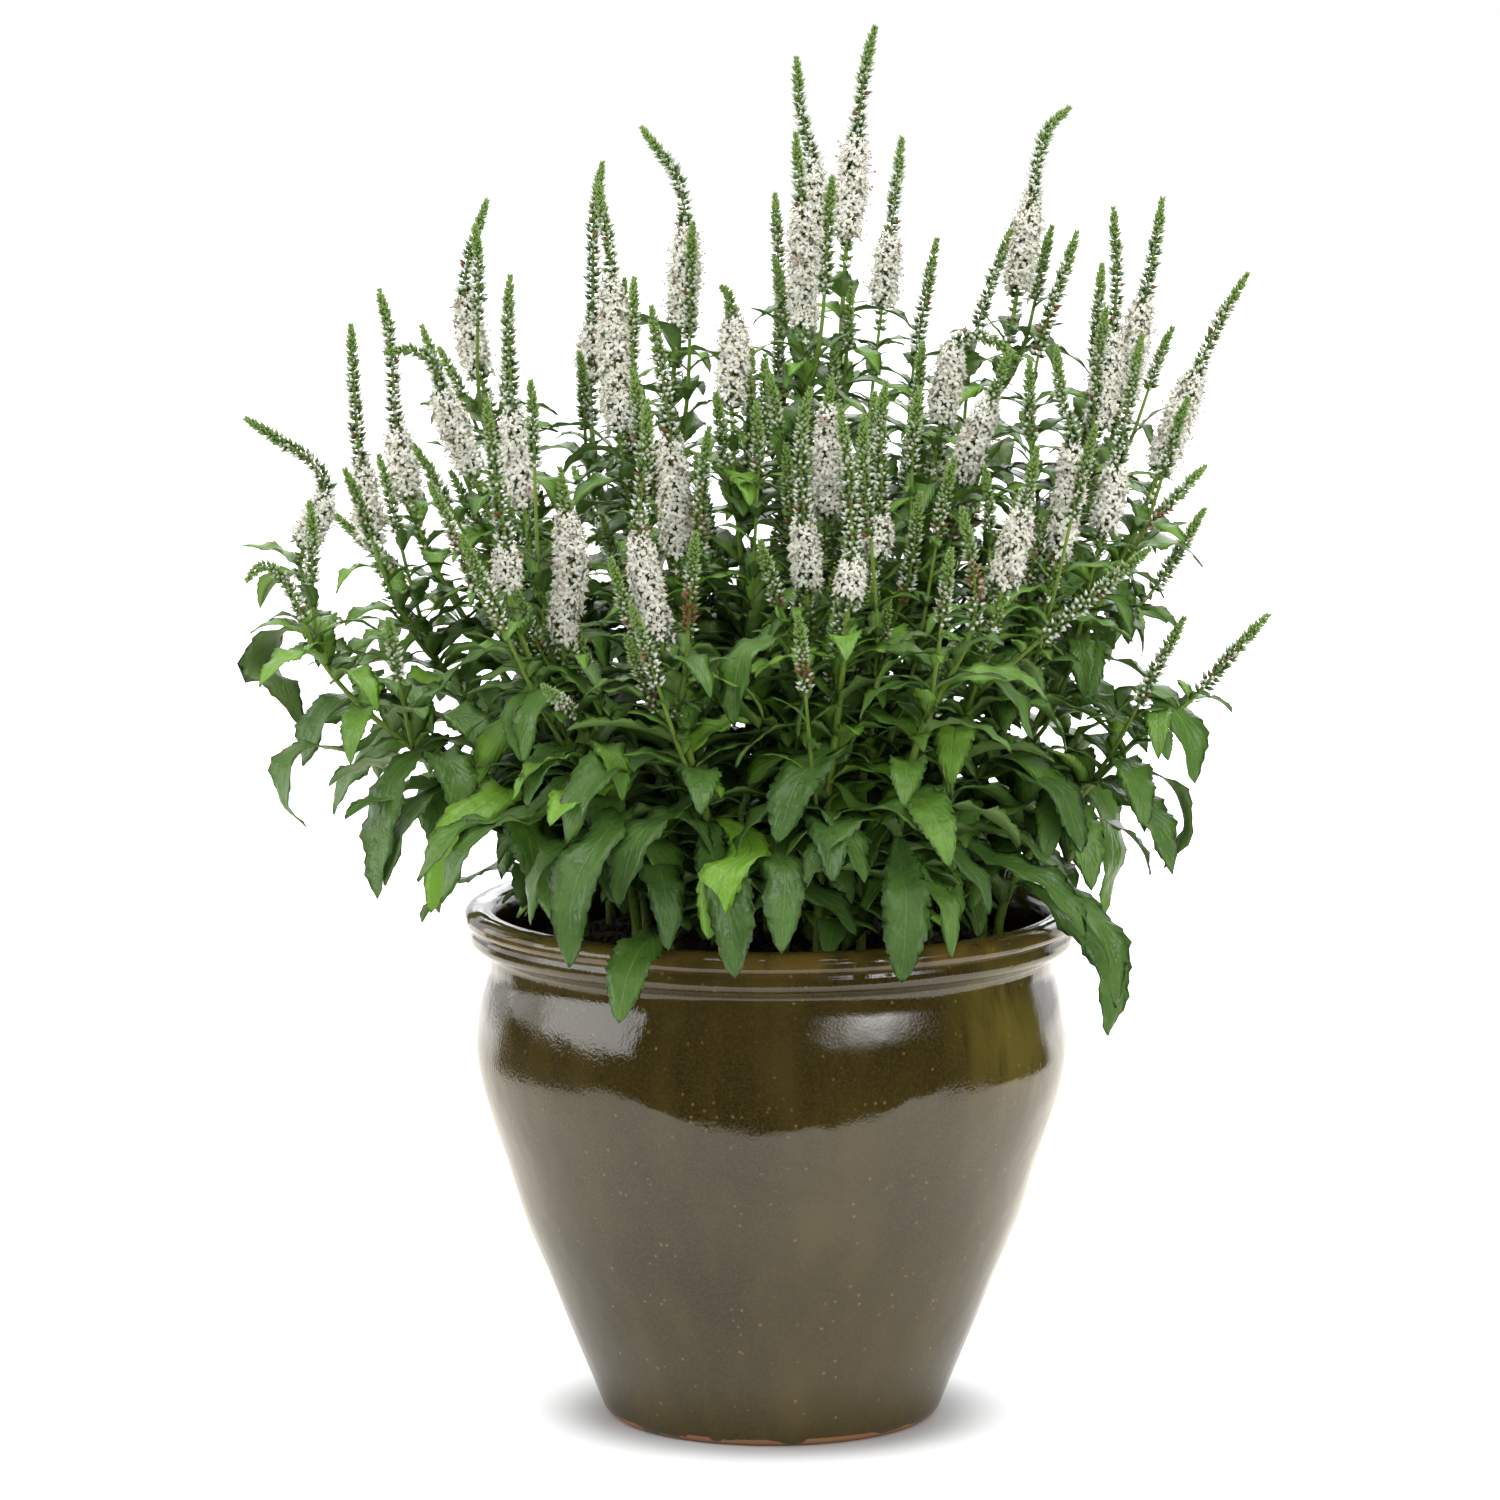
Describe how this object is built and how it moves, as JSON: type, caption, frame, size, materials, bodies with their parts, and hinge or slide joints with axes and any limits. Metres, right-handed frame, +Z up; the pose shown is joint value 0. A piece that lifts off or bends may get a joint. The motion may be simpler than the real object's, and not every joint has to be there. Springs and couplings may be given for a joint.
{
  "type": "potted flowering plant",
  "caption": "Clump of slender leafy stems with toothed leaves, green budded spikes and white flower spikes, rooted in soil in a round-bellied glazed pot.",
  "frame": {"origin": "centre of the pot's flat foot, on the surface it stands on", "axes": "+Z up along the pot's axis, -Y the plant's front, +X to the right seen from the front"},
  "size_m": [0.502, 0.444, 0.691],
  "materials": {
    "glaze": "glossy olive-brown glaze",
    "compost": "moist dark potting soil",
    "foliage": "fresh green leaves and buds",
    "petals": "white florets"
  },
  "bodies": {
    "root": {"pot": "glaze", "soil": "compost", "leafy_stem_01": "foliage", "leafy_stem_02": "foliage", "leafy_stem_03": "foliage", "leafy_stem_04": "foliage", "leafy_stem_05": "foliage", "leafy_stem_06": "foliage", "leafy_stem_07": "foliage", "leafy_stem_08": "foliage", "leafy_stem_09": "foliage", "leafy_stem_10": "foliage", "leafy_stem_11": "foliage", "leafy_stem_12": "foliage", "leafy_stem_13": "foliage", "leafy_stem_14": "foliage", "leafy_stem_15": "foliage", "leafy_stem_16": "foliage", "leafy_stem_17": "foliage", "leafy_stem_18": "foliage", "leafy_stem_19": "foliage", "leafy_stem_20": "foliage", "leafy_stem_21": "foliage", "leafy_stem_22": "foliage", "leafy_stem_23": "foliage", "leafy_stem_24": "foliage", "leafy_stem_25": "foliage", "leafy_stem_26": "foliage", "leafy_stem_27": "foliage", "leafy_stem_28": "foliage", "leafy_stem_29": "foliage", "leafy_stem_30": "foliage", "leafy_stem_31": "foliage", "bloom_01": "petals", "bloom_02": "petals", "bloom_03": "petals", "bloom_04": "petals", "bloom_05": "petals", "bloom_06": "petals", "bloom_07": "petals", "bloom_08": "petals", "bloom_09": "petals", "bloom_10": "petals", "bloom_11": "petals", "bloom_12": "petals", "bloom_13": "petals", "bloom_14": "petals", "bloom_15": "petals", "bloom_16": "petals", "bloom_17": "petals", "bloom_18": "petals", "bloom_19": "petals", "bloom_20": "petals", "bloom_21": "petals", "bloom_22": "petals", "bloom_23": "petals", "bloom_24": "petals", "bloom_25": "petals", "bloom_26": "petals", "bloom_27": "petals"}
  },
  "joints": []
}
